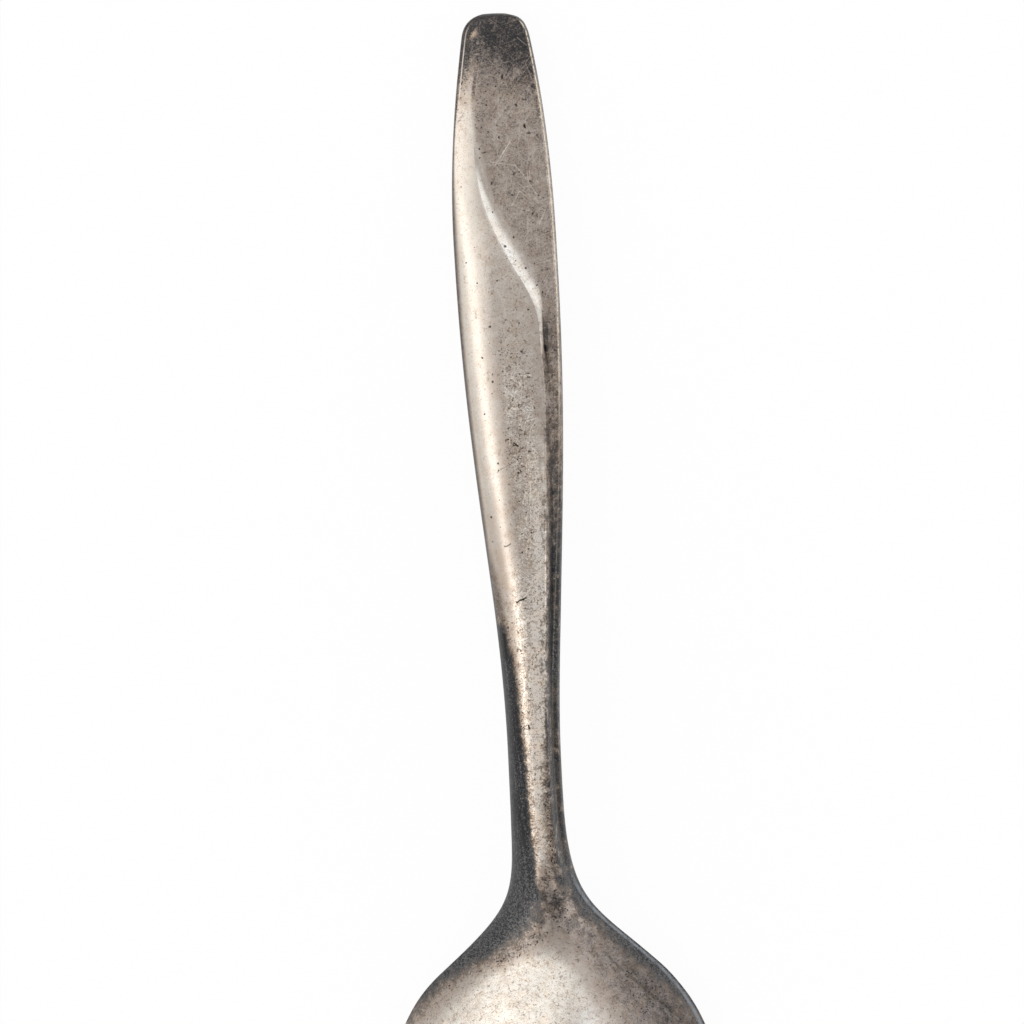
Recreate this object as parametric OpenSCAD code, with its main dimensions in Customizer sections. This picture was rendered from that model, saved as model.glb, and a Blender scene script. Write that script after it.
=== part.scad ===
// Small silver salt spoon, lying face down as it does when its back is shown.
// +Y runs along the handle to its end, +X across, +Z up out of the back of the spoon.
// The origin is on the table, under the middle of the spoon. Millimetres and degrees.

/* [Overall] */
// Length from the end of the handle to the front of the bowl
spoon_l = 60; // [54:0.5:72]
// Tilt of the handle's end to the table
end_tilt = 6.5; // [4:0.25:9]

/* [Bowl] */
// Diameter across the rim
bowl_d = 15.8; // [13:0.1:19]
// Depth of the hollow below the rim
bowl_depth = 3.7; // [2.6:0.1:5]
// Thickness of the bowl at its middle
bowl_wall = 0.85; // [0.6:0.05:1.3]
// Width of the rim between the outline and the hollow
rim_w = 0.7; // [0.5:0.05:1]
// Tilt of the rim to the table
rim_tilt = 5.8; // [3:0.2:9]
// Depth worn flat where the front of the rim rests on the table
rest_wear = 0.08; // [0.04:0.01:0.14]
// Softness of the hollow line where the neck runs into the dome of the bowl
heel_blend = 0.8; // [0.2:0.05:1.6]

/* [Shoulders] */
// Length of the flare from the neck to the round of the bowl
shoulder_l = 10.3; // [9.4:0.1:13]
// Angle round the bowl, from the handle's axis, at which the flare joins it
shoulder_a = 42; // [37:1:49]
// Length over which the flare stays along the neck
flare_neck = 7.2; // [5.4:0.1:7.8]
// Length over which it stays along the round of the bowl
flare_bowl = 5.3; // [3.6:0.1:5.6]

/* [Outline of the handle] */
// Width at the end, if its corners were sharp
end_w = 2.9; // [2.4:0.05:3.8]
// Length of the rounded corners along the handle
end_l = 1.2; // [0.7:0.05:1.8]
// Fullness of those corners, 2 for an ellipse and more for a squarer end
end_full = 2.6; // [2:0.1:4]
// Share of the end's width that is left straight
end_flat = 0.4; // [0.25:0.01:0.6]
// Greatest width of the blade
blade_w = 4.98; // [4.4:0.02:6.5]
// Distance from the end to the greatest width
blade_at = 11; // [9:0.25:14]
// How late the taper from there to the neck comes, 1 for an even one
taper_late = 1.25; // [1:0.05:1.6]
// Least width, at the neck
neck_w = 2.56; // [2.2:0.02:3.4]

/* [Section of the handle] */
// Thickness of the flat at the end
end_t = 1.05; // [0.8:0.05:1.25]
// Thickness through the raised back at the blade
back_t = 1.3; // [1.2:0.05:2]
// Fall of the raised back from its middle to its sides
back_crown = 0.12; // [0:0.02:0.2]
// Thickness of the neck
neck_t = 2.1; // [1.6:0.05:2.8]
// Height of the widest line above the front face
girdle_h = 0.32; // [0.2:0.02:0.5]
// Width of the round on the left side of the blade, once the crease leaves it room
round_w = 1.8; // [1.2:0.05:2.2]
// Width of that round at the neck
neck_round = 1.4; // [0.9:0.05:1.6]
// Radius of the right edge and of the end's upper edge
edge_r = 0.25; // [0.15:0.01:0.3]
// Height of the flat that is left on the end
end_land = 0.4; // [0.2:0.02:0.7]
// Rise of the front face from its middle to its edges
front_crown = 0.12; // [0:0.02:0.2]

/* [Crease across the back] */
// Distance from the end at which the crease leaves the left side
crease_from = 5; // [4:0.1:7]
// Distance from the end at which it has crossed to the right side
crease_to = 15.2; // [13.5:0.1:19]
// How late it crosses between the two, 1 for an even S
crease_late = 1.4; // [1:0.1:2]
// Distance of the crease from the left edge before it crosses
crease_left = 1.1; // [0.9:0.02:1.3]
// Distance of the crease from the right edge after it has crossed
ledge_w = 0.9; // [0.75:0.01:1.1]
// That distance at the neck
ledge_neck = 0.7; // [0.66:0.01:0.8]
// Width of the slope from the raised back down to the flat
crease_run = 0.75; // [0.5:0.01:0.8]

/* [Soldered joint] */
// Distance from the narrowest place of the neck to the joint, at half the neck's thickness
joint_in = 6.05; // [5:0.05:6.6]
// Angle of the slanted joint to the front face
joint_a = 45; // [40:1:70]
// Thickness of the solder along the spoon
solder_t = 0.12; // [0.06:0.01:0.3]

/* [Hidden] */
silver = [0.74, 0.71, 0.67];
dark_silver = [0.55, 0.52, 0.48];
solder_grey = [0.42, 0.40, 0.36];

// Steps along the outline and across the section
corner_n = 8;
blade_n = 16;
taper_n = 28;
shoulder_n = 12;
rim_n = 24;
round_n = 8;
spine_n = 5;
slope_n = 5;
flat_n = 4;
edge_n = 4;
back_n = round_n + spine_n + slope_n + flat_n + edge_n;
face_n = 4;
joint_steps = 6;
$fn = 96;

// Half the short straight left at the very front of the rim
front_land = 0.4;
// Greatest share of the width up to the crease that the left round takes
round_share = 0.9;
// Bare length kept between the joint and the next section
joint_clear = 0.4;

bowl_r = bowl_d / 2;
bowl_at = spoon_l - bowl_r;
hollow_r = bowl_r - rim_w;
hollow_ball_r = (hollow_r * hollow_r + bowl_depth * bowl_depth) / (2 * bowl_depth);
dome_h = bowl_depth + bowl_wall - girdle_h;
rim_slope = tan(rim_tilt);
shoulder_end = [bowl_at - bowl_r * cos(shoulder_a), bowl_r * sin(shoulder_a)];
neck_at = shoulder_end[0] - shoulder_l;
joint_at = neck_at + joint_in;

// Height of the rim's plane above the table
function rim_z(d) = (spoon_l - d) * rim_slope - rest_wear;
neck_z = rim_z(neck_at);

// Small helpers
function mix(a, b, t) = a + (b - a) * t;
function share(v, a, b) = min(1, max(0, (v - a) / (b - a)));
function ease(v, a, b) = let (t = share(v, a, b)) t * t * (3 - 2 * t);
function quarter(v, span) = sqrt(1 - pow(1 - share(v, 0, span), 2));
function soft_max(a, b, k) = (a + b + sqrt(pow(a - b, 2) + k * k)) / 2;
function cubic(p, q, r, s, t) =
    p * pow(1 - t, 3) + q * 3 * t * pow(1 - t, 2) + r * 3 * t * t * (1 - t) + s * pow(t, 3);

// Outline as [distance from the end, half width]: corner, blade, taper, shoulder and bowl
corner_a = asin(pow(end_flat, end_full / 2));
corner_cut = end_l * (1 - pow(cos(corner_a), 2 / end_full));
corner_l = end_l - corner_cut;
function blade_half(d) = mix(blade_w, end_w, pow(1 - d / blade_at, 2)) / 2;
corner_line = [
    for (i = [0:corner_n])
        let (
            a = mix(corner_a, 90, i / corner_n),
            d = end_l * (1 - pow(cos(a), 2 / end_full)) - corner_cut
        )
        [d, blade_half(d) * pow(sin(a), 2 / end_full)]
];
blade_line = [
    for (i = [1:blade_n])
        let (d = mix(corner_l, blade_at, i / blade_n))
        [d, blade_half(d)]
];
taper_line = [
    for (i = [1:taper_n])
        let (t = i / taper_n)
        [mix(blade_at, neck_at, t), mix(blade_w, neck_w, ease(pow(t, taper_late), 0, 1)) / 2]
];
shoulder_line = [
    for (i = [1:shoulder_n])
        cubic(
            [neck_at, neck_w / 2],
            [neck_at + flare_neck, neck_w / 2],
            shoulder_end - flare_bowl * [sin(shoulder_a), cos(shoulder_a)],
            shoulder_end,
            i / shoulder_n
        )
];
front_a = 180 - asin(front_land / bowl_r);
rim_line = [
    for (i = [1:rim_n])
        let (a = mix(shoulder_a, front_a, i / rim_n))
        [bowl_at - bowl_r * cos(a), bowl_r * sin(a)]
];
outline = concat(corner_line, blade_line, taper_line, shoulder_line, rim_line);
function half_width(d) = lookup(d, outline);

// Height of the front face above the table: the handle's arch, then the tilted rim
function front_z(d) =
    let (t = min(1, d / neck_at), arch_l = neck_at * t * (1 - t))
    d > neck_at
        ? rim_z(d)
        : arch_l * ((1 - t) * tan(end_tilt) + t * rim_slope) + neck_z * t * t * (3 - 2 * t);

// How far the section has changed from the handle's to the bowl's
function bowl_share(d) = ease(d, neck_at, shoulder_end[0]);

// Sizes of the handle's section at a distance from the end
function end_fit(d) = min(1, 2 * half_width(d) / end_w);
function tapered(d) = ease(d, blade_at, neck_at);
function crossed(d) = ease(pow(share(d, crease_from, crease_to), crease_late), 0, 1);
function crease_x(d) =
    let (w = half_width(d), f = end_fit(d), ledge = mix(ledge_w, ledge_neck, tapered(d)))
    mix(crease_left * f - w, w - ledge * f, crossed(d));
function round_at(d) =
    let (f = end_fit(d), to_crease = crease_x(d) + half_width(d) - crease_run / 2 * f)
    min(mix(round_w, neck_round, tapered(d)) * f, round_share * to_crease);
function back_h(d) = mix(mix(end_t, back_t, ease(d, end_l, blade_at)), neck_t, tapered(d));
function end_round(d) = mix(end_land / end_t, 1, quarter(d, edge_r));

// Height of the back above the front face, on the handle and on the bowl
function handle_back(x, d) =
    let (
        w = half_width(d),
        c = crease_x(d),
        s = crease_run * end_fit(d) / 2,
        raised = 1 - ease(x, c - s, c + s),
        crowned = back_h(d) - back_crown * pow(x / w, 2),
        full = mix(end_t, crowned, raised) - girdle_h
    )
    girdle_h + full * end_round(d) * quarter(x + w, round_at(d)) * quarter(w - x, edge_r * end_fit(d));
function dome_at(d) = dome_h * max(0, 1 - pow((d - bowl_at) / bowl_r, 2));
function crown_at(d) = d > bowl_at ? dome_at(d) : soft_max(neck_t - girdle_h, dome_at(d), heel_blend);
function bowl_back(x, d) = girdle_h + crown_at(d) * (1 - pow(x / half_width(d), 2));
function back_z(x, d) = front_z(d) + mix(handle_back(x, d), bowl_back(x, d), bowl_share(d));

// Front face: crowned along the handle, flat round the bowl, and rounded up to the end
function face_z(x, d) =
    let (crown = front_crown * pow(x / half_width(d), 2) * (1 - bowl_share(d)))
    front_z(d) + crown + girdle_h * (1 - end_round(d));

// Places across the back: closer together on the rounds, and in line with the crease
function handle_xs(d) =
    let (
        w = half_width(d),
        b = round_at(d),
        c = crease_x(d),
        s = crease_run * end_fit(d) / 2,
        e = edge_r * end_fit(d)
    )
    concat(
        [for (i = [0:round_n - 1]) b * (1 - cos(90 * i / round_n)) - w],
        [for (i = [0:spine_n - 1]) mix(b - w, c - s, i / spine_n)],
        [for (i = [0:slope_n - 1]) mix(c - s, c + s, i / slope_n)],
        [for (i = [0:flat_n - 1]) mix(c + s, w - e, i / flat_n)],
        [for (i = [edge_n:-1:0]) w - e * (1 - cos(90 * i / edge_n))]
    );
function bowl_xs(d) = [for (i = [0:back_n]) -half_width(d) * cos(180 * i / back_n)];
function back_xs(d) = mix(handle_xs(d), bowl_xs(d), bowl_share(d));

// One section: across the back from left to right, and home along the front
function point(x, d, z) = [x, spoon_l / 2 - d, z];
function section(d) =
    let (
        w = half_width(d),
        r = min(girdle_h, w / 3),
        girdle_z = front_z(d) + girdle_h,
        inner_x = w - r,
        inner_z = face_z(inner_x, d),
        mid_x = inner_x + r * cos(45),
        mid_z = mix(girdle_z, inner_z, sin(45))
    )
    concat(
        [for (x = back_xs(d)) point(x, d, back_z(x, d))],
        [point(mid_x, d, mid_z)],
        [
            for (i = [0:face_n])
                let (x = mix(inner_x, -inner_x, i / face_n))
                point(x, d, face_z(x, d))
        ],
        [point(-mid_x, d, mid_z)]
    );

// A slanted section: each of its points is moved along the spoon until it lies in the joint
joint_z = front_z(joint_at) + neck_t / 2;
joint_reach = neck_t / 2 / tan(joint_a) + joint_clear;
function joint_d(j, at, d, steps) =
    steps == 0 ? d : joint_d(j, at, at + (section(d)[j][2] - joint_z) / tan(joint_a), steps - 1);
function joint_section(at) = [
    for (j = [0:len(section(at)) - 1])
        section(joint_d(j, at, at, joint_steps))[j]
];
handle_joint = joint_section(joint_at - solder_t / 2);
bowl_joint = joint_section(joint_at + solder_t / 2);

// A solid through sections that all have the same number of points
module loft(sections) {
    n = len(sections[0]);
    last = len(sections) - 1;
    polyhedron(
        points = [for (s = sections) each s],
        faces = concat(
            [[for (j = [n - 1:-1:0]) j]],
            [
                for (k = [0:last - 1], j = [0:n - 1])
                    let (a = k * n + j, b = k * n + (j + 1) % n)
                    each [[a, b, a + n], [b, b + n, a + n]]
            ],
            [[for (j = [0:n - 1]) last * n + j]]
        )
    );
}

// The ball that the bowl is dished with, set so that it cuts the rim at the hollow's edge
module dishing_ball() {
    translate([0, spoon_l / 2 - bowl_at, rim_z(bowl_at)])
        rotate([rim_tilt, 0, 0])
            translate([0, 0, bowl_depth - hollow_ball_r])
                sphere(r = hollow_ball_r);
}

// What is below the table, worn off the front of the rim
module table() {
    translate([-bowl_d, -spoon_l, -bowl_d]) cube([2 * bowl_d, spoon_l, bowl_d]);
}

module bowl() {
    stations = [for (s = outline) if (s[0] > joint_at + joint_reach) s[0]];
    color(silver)
        difference() {
            loft(concat([bowl_joint], [for (d = stations) section(d)]));
            dishing_ball();
            table();
        }
}

module handle() {
    stations = [for (s = outline) if (s[0] < joint_at - joint_reach) s[0]];
    color(dark_silver) loft(concat([for (d = stations) section(d)], [handle_joint]));
}

module solder_seam() {
    color(solder_grey) loft([handle_joint, bowl_joint]);
}

bowl();
handle();
solder_seam();
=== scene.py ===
import math

import bpy
import numpy as np
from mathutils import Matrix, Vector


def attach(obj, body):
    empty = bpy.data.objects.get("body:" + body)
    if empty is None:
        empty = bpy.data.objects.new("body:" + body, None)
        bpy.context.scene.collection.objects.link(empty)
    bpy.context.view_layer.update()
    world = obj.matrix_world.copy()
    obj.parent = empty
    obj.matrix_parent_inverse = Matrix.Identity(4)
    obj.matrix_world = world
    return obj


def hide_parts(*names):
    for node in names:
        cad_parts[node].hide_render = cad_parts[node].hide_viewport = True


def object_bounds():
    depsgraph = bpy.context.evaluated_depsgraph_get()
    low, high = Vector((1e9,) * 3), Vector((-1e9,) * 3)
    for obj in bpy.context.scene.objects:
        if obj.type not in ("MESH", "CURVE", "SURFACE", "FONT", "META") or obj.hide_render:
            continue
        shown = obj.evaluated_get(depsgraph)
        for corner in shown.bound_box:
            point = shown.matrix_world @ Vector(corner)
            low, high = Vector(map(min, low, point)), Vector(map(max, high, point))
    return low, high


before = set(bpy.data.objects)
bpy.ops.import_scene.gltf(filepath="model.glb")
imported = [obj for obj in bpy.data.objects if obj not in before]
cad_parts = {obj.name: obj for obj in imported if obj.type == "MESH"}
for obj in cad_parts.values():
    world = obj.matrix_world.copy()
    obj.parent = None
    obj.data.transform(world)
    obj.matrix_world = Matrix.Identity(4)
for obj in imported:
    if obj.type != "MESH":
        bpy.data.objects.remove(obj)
cad_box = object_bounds()

# Units: the shapes are worked out in millimetres and scaled to metres when a mesh is made
MM = 0.001

# Overall
SPOON_L = 2 * cad_box[1].y / MM
END_TILT = math.radians(6.5)

# Bowl
BOWL_D = 15.8
BOWL_DEPTH = 3.7
BOWL_WALL = 0.85
RIM_W = 0.7
RIM_TILT = math.radians(5.8)
REST_WEAR = 0.08
HEEL_BLEND = 0.8

# Shoulders
SHOULDER_L = 10.3
SHOULDER_A = math.radians(42)
FLARE_NECK = 7.2
FLARE_BOWL = 5.3

# Outline of the handle
END_W = 2.9
END_L = 1.2
END_FULL = 2.6
END_FLAT = 0.4
BLADE_W = 4.98
BLADE_AT = 11.0
TAPER_LATE = 1.25
NECK_W = 2.56

# Sideways lean of the middle line, as hand finishing left it
END_LEAN = 0.13
SHANK_LEAN = 0.05
NECK_LEAN = -0.07
SHOULDER_LEAN = 0.15
SHANK_SHARE = 0.7
# Slant and bow of the end, and its fuller right corner, as filed by hand
END_SLANT = 0.025
END_BOW = 0.028
BOW_HALF = 0.62
END_CORNER = 0.07
# Stops between which the slant, the bow and the corner fade along, and the corner across
SLANT_ALONG = (2.5, 0.0)
BOW_ALONG = (1.0, 0.0)
CORNER_ALONG = (1.3, 0.5)
CORNER_ACROSS = (0.7, 1.3, 1.4, 1.6)

# Section of the handle
END_T = 1.05
BACK_T = 1.3
BACK_CROWN = 0.12
NECK_T = 2.1
GIRDLE_H = 0.32
ROUND_W = 1.8
NECK_ROUND = 1.4
ROUND_SHARE = 0.9
EDGE_R = 0.25
END_LAND = 0.4
FRONT_CROWN = 0.12
# Share of the half width that the lower rounding may take
LOWER_SHARE = 1 / 3
# Broad bevel of the left side near the end, above a low wall
WALL_R = 0.06
BEVEL_W = 1.5
BEVEL_H = 0.31
BEVEL_POWER = 2.5
BEVEL_TO, ROUND_FROM = 7.0, 13.0

# Crease across the back
CREASE_FROM = 5.0
CREASE_TO = 15.2
CREASE_LATE = 1.35
CREASE_LEFT = 1.1
LEDGE_W = 0.9
LEDGE_NECK = 0.7
# Width of the slope: at the start of the crease, in its middle, at the turn into the ledge, and along
# the shank
RUN_START = 0.28
RUN_FULL = 0.95
RUN_LEDGE = 0.24
RUN_SHANK = 0.45
WIDEN_FROM, WIDEN_TO = 7.0, 12.0
NARROW_TO = 15.0
SHANK_FROM, SHANK_TO = 15.5, 19.0
# Share of the slope before the crease line: at first, at the turn into the ledge, and along the shank
RISE_SHARE = 0.4
RISE_LEDGE = 0.7
RISE_SHANK = 0.1
TURN_FROM, TURN_TO = 13.0, 15.5
TURN_END = 18.5
# Room that the slope leaves for the right edge, as a share of the edge's rounding
EDGE_ROOM = 1.1
# Stretch over which the slope changes from sharp at its top to sharp at its root
ROOT_FROM, ROOT_TO = CREASE_TO - 3, CREASE_TO + 1
# Stretch over which the spine rises above the flat
SPINE_FROM, SPINE_FULL = 5.5, 12.0

# Soldered joint
JOINT_IN = 6.05
JOINT_A = math.radians(45)
SOLDER_T = 0.12

# Worked out from the sizes above
BOWL_R = BOWL_D / 2
BOWL_AT = SPOON_L - BOWL_R
HOLLOW_R = BOWL_R - RIM_W
BALL_R = (HOLLOW_R ** 2 + BOWL_DEPTH ** 2) / (2 * BOWL_DEPTH)
DOME_H = BOWL_DEPTH + BOWL_WALL - GIRDLE_H
RIM_SLOPE = math.tan(RIM_TILT)
SHOULDER_END = (BOWL_AT - BOWL_R * math.cos(SHOULDER_A), BOWL_R * math.sin(SHOULDER_A))
NECK_AT = SHOULDER_END[0] - SHOULDER_L
JOINT_AT = NECK_AT + JOINT_IN
CORNER_A = math.asin(END_FLAT ** (END_FULL / 2))
CORNER_CUT = END_L * (1 - math.cos(CORNER_A) ** (2 / END_FULL))
CORNER_L = END_L - CORNER_CUT

# Fineness of the meshes: spacing along the spoon, and points across each part of a section
STEP = 0.1
CORNER_N = 24
RIM_N = 150
ROUND_N, SPINE_N, SLOPE_N, FLAT_N, EDGE_N = 24, 30, 16, 14, 10
BACK_N = ROUND_N + SPINE_N + SLOPE_N + FLAT_N + EDGE_N + 1
LOWER_N = 5
FACE_N = 4
HOLLOW_N = 36
# Stretch on each side of the joint over which the sections lean over to it, and how often they are refined
LEAN_L = 2.6
LEAN_STEPS = 8
# Stretch before the hollow over which the front face draws in to the hollow's nearest point
HEEL_L = 2.0
# How far before the end of the shoulders the sections of the hollow start
HEEL_IN = 1.8
HEEL_AT = SHOULDER_END[0] - HEEL_IN
# Share of the front face that the points of the hollow take up before that
FACE_SHARE = 0.6
# Uneven surface left by forging and filing: height in millimetres, waves along and across, and phase
WAVES = (
    (0.0060, 1.10, 0.45, 0.3),
    (0.0045, -0.70, 1.60, 1.9),
    (0.0040, 2.30, -1.10, 4.1),
    (0.0030, 0.60, 3.10, 2.6),
)
SHARP_ANGLE = math.radians(38)
# Decimals of a millimetre to which points are merged, and the least half width to divide by
MERGE_DECIMALS = 5
LEAST_HALF = 1e-6


def mix(a, b, t):
    return a + (b - a) * t


def share(v, a, b):
    return np.clip((v - a) / (b - a), 0, 1)


def ease(v, a, b):
    t = share(v, a, b)
    return t * t * (3 - 2 * t)


def fade(v, stops):
    """From 0 to 1 between the first two stops, also downwards, and back to 0 between two more if given."""
    rise = ease(v, stops[0], stops[1])
    return rise * ease(v, stops[3], stops[2]) if len(stops) == 4 else rise


def quarter(v, span):
    return np.sqrt(1 - (1 - share(v, 0, span)) ** 2)


def soft_max(a, b, k):
    return (a + b + np.sqrt((a - b) ** 2 + k * k)) / 2


# Outline: distance from the end of the handle against half width

def blade_half(d):
    return mix(BLADE_W, END_W, (1 - d / BLADE_AT) ** 2) / 2


def end_curve(a):
    """Distance and half width along the rounded end, which is fuller than an ellipse."""
    d = END_L * (1 - np.cos(a).clip(0) ** (2 / END_FULL)) - CORNER_CUT
    return d, blade_half(d) * np.sin(a) ** (2 / END_FULL)


def shoulder_curve(t):
    """Distance and half width along the flare from the neck to the round of the bowl."""
    along = (NECK_AT, NECK_AT + FLARE_NECK,
             SHOULDER_END[0] - FLARE_BOWL * math.sin(SHOULDER_A), SHOULDER_END[0])
    across = (NECK_W / 2, NECK_W / 2,
              SHOULDER_END[1] - FLARE_BOWL * math.cos(SHOULDER_A), SHOULDER_END[1])
    weights = ((1 - t) ** 3, 3 * t * (1 - t) ** 2, 3 * t * t * (1 - t), t ** 3)
    return sum(w * p for w, p in zip(weights, along)), sum(w * p for w, p in zip(weights, across))


def make_outline(samples=400):
    end = end_curve(np.linspace(CORNER_A, math.pi / 2, samples))
    blade = np.linspace(CORNER_L, BLADE_AT, samples)
    taper = np.linspace(BLADE_AT, NECK_AT, samples)
    flare = shoulder_curve(np.linspace(0, 1, samples))
    rim = np.linspace(SHOULDER_A, math.pi, samples)
    narrowed = ease(share(taper, BLADE_AT, NECK_AT) ** TAPER_LATE, 0, 1)
    along = (end[0], blade, taper, flare[0], BOWL_AT - BOWL_R * np.cos(rim))
    half = (end[1], blade_half(blade), mix(BLADE_W, NECK_W, narrowed) / 2, flare[1], BOWL_R * np.sin(rim))
    return np.concatenate(along), np.concatenate(half)


OUTLINE_D, OUTLINE_W = make_outline()


def half_width(d):
    return np.interp(d, OUTLINE_D, OUTLINE_W)


def off_middle(x, d):
    """Place across as a share of the half width."""
    return x / np.maximum(half_width(d), LEAST_HALF)


def sway(d):
    """Sideways place of the middle line, eased from each leaning place to the next."""
    shoulder = (JOINT_AT + 2 * SHOULDER_END[0]) / 3
    places = (
        (0, END_LEAN),
        (BLADE_AT, 0),
        (mix(BLADE_AT, NECK_AT, SHANK_SHARE), SHANK_LEAN),
        ((NECK_AT + JOINT_AT) / 2, NECK_LEAN),
        (shoulder, SHOULDER_LEAN),
        (2 * SHOULDER_END[0] - shoulder, 0),
    )
    steps = zip(places, places[1:])
    return places[0][1] + sum((v - u) * ease(d, a, b) for (a, u), (b, v) in steps)


# Heights of the front face and of the back

def rim_z(d):
    return (SPOON_L - d) * RIM_SLOPE - REST_WEAR


def front_z(d):
    t = np.minimum(1, d / NECK_AT)
    lean = (1 - t) * math.tan(END_TILT) + t * RIM_SLOPE
    arch = NECK_AT * t * (1 - t) * lean + rim_z(NECK_AT) * t * t * (3 - 2 * t)
    return np.where(d > NECK_AT, rim_z(d), arch)


def bowl_share(d):
    return ease(d, NECK_AT, SHOULDER_END[0])


def end_fit(d):
    return np.minimum(1, 2 * half_width(d) / END_W)


def tapered(d):
    return ease(d, BLADE_AT, NECK_AT)


def crossed(d):
    return ease(share(d, CREASE_FROM, CREASE_TO) ** CREASE_LATE, 0, 1)


def crease_x(d):
    w = half_width(d)
    ledge = mix(LEDGE_W, LEDGE_NECK, tapered(d))
    return mix(CREASE_LEFT * end_fit(d) - w, w - ledge * end_fit(d), crossed(d))


def crease_run(d):
    widened = mix(RUN_START, RUN_FULL, ease(d, WIDEN_FROM, WIDEN_TO))
    narrowed = mix(widened, RUN_LEDGE, ease(d, WIDEN_TO, NARROW_TO))
    return mix(narrowed, RUN_SHANK, ease(d, SHANK_FROM, SHANK_TO)) * end_fit(d)


def crease_span(d):
    """Places across where the slope of the crease starts and ends."""
    run = crease_run(d)
    turned = mix(RISE_SHARE, RISE_LEDGE, ease(d, TURN_FROM, TURN_TO))
    top = crease_x(d) - mix(turned, RISE_SHANK, ease(d, TURN_TO, TURN_END)) * run
    return top, np.minimum(top + run, half_width(d) - EDGE_ROOM * EDGE_R * end_fit(d))


def round_at(d):
    to_crease = crease_span(d)[0] + half_width(d)
    return np.minimum(mix(ROUND_W, NECK_ROUND, tapered(d)) * end_fit(d), ROUND_SHARE * to_crease)


def back_h(d):
    return mix(mix(END_T, BACK_T, ease(d, SPINE_FROM, SPINE_FULL)), NECK_T, tapered(d))


def end_round(d):
    return mix(END_LAND / END_T, 1, quarter(d, EDGE_R))


def raised_at(x, d):
    """From 1 on the spine to 0 on the flat: sharp at the top first, then at the root, and then soft."""
    t = share(x, *crease_span(d))
    to_root = mix((1 - t) ** 2, 1 - t ** 2, ease(d, ROOT_FROM, ROOT_TO))
    return mix(to_root, 1 - ease(t, 0, 1), ease(d, SHANK_FROM, SHANK_TO))


def left_side(v, d, full):
    """Share of the full height at a distance v from the left edge."""
    bevel = 1 - BEVEL_H / full * (1 - share(v, 0, BEVEL_W)) ** BEVEL_POWER
    return mix(quarter(v, WALL_R) * bevel, quarter(v, round_at(d)), ease(d, BEVEL_TO, ROUND_FROM))


def handle_back(x, d):
    w = np.maximum(half_width(d), LEAST_HALF)
    crowned = back_h(d) - BACK_CROWN * ease(d, SPINE_FROM, SPINE_FULL) * off_middle(x, d) ** 2
    full = mix(END_T, crowned, raised_at(x, d)) - GIRDLE_H
    sides = left_side(x + w, d, full) * quarter(w - x, EDGE_R * end_fit(d))
    return GIRDLE_H + full * end_round(d) * sides


def bowl_back(x, d):
    dome = DOME_H * np.maximum(0, 1 - ((d - BOWL_AT) / BOWL_R) ** 2)
    crown = np.where(d > BOWL_AT, dome, soft_max(NECK_T - GIRDLE_H, dome, HEEL_BLEND))
    return GIRDLE_H + crown * np.maximum(0, 1 - off_middle(x, d) ** 2)


def unevenness(x, d):
    """Slight waves of a worn surface, gone at the outline."""
    waves = sum(h * np.sin(a * d + c * x + p) for h, a, c, p in WAVES)
    return waves * np.maximum(0, 1 - off_middle(x, d) ** 4)


def back_z(x, d):
    return front_z(d) + mix(handle_back(x, d), bowl_back(x, d), bowl_share(d)) + unevenness(x, d)


def face_z(x, d):
    crown = FRONT_CROWN * off_middle(x, d) ** 2 * (1 - bowl_share(d))
    return front_z(d) + crown + GIRDLE_H * (1 - end_round(d))


# Sections of the spoon as one grid of points: across the back from left to right, then home along the front

ZONE = np.repeat(np.arange(5), (ROUND_N, SPINE_N, SLOPE_N, FLAT_N, EDGE_N + 1))[:, None]
ZONE_SHARE = np.concatenate(
    [np.arange(n) / n for n in (ROUND_N, SPINE_N, SLOPE_N, FLAT_N)] + [np.arange(EDGE_N + 1) / EDGE_N]
)[:, None]


def back_x(d):
    """Places across the back, one row for each point of a section, in line with the crease."""
    w, (top, root) = half_width(d), crease_span(d)
    b, e = round_at(d), EDGE_R * end_fit(d)
    turn = math.pi / 2
    zones = [
        b * (1 - np.cos(turn * ZONE_SHARE)) - w,
        mix(b - w, top, ZONE_SHARE),
        mix(top, root, ZONE_SHARE),
        mix(root, w - e, ZONE_SHARE),
        w - e * (1 - np.cos(turn * (1 - ZONE_SHARE))),
    ]
    on_handle = np.select([ZONE == k for k in range(5)], zones)
    on_bowl = -w * np.cos(math.pi * np.linspace(0, 1, BACK_N)[:, None])
    return mix(on_handle, on_bowl, bowl_share(d))


def stations():
    """Distances of the sections from the end, with the two faces of the joint among them."""
    corner = end_curve(np.linspace(CORNER_A, math.pi / 2, CORNER_N))[0]
    before = np.arange(CORNER_L + STEP, JOINT_AT - SOLDER_T / 2 - STEP / 2, STEP)
    joint = [JOINT_AT - SOLDER_T / 2, JOINT_AT + SOLDER_T / 2]
    after = np.arange(JOINT_AT + SOLDER_T / 2 + STEP, SHOULDER_END[0] - STEP / 2, STEP)
    rim = BOWL_AT - BOWL_R * np.cos(np.linspace(SHOULDER_A, math.pi, RIM_N))
    rings = np.concatenate([corner, before, joint, after, rim])
    return rings, len(corner) + len(before)


def lean(d):
    """How much a section leans over towards the slant of the joint."""
    return (1 - ease(np.abs(d - JOINT_AT), SOLDER_T / 2, LEAN_L)) / math.tan(JOINT_A)


def back_grid(rings):
    base = np.broadcast_to(rings, (BACK_N, len(rings)))
    joint_z = front_z(np.array(JOINT_AT)) + NECK_T / 2
    d = base
    for _ in range(LEAN_STEPS):
        z = back_z(back_x(d), d)
        d = base + lean(base) * (z - joint_z)
    x = back_x(d)
    return x, d, back_z(x, d)


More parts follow.
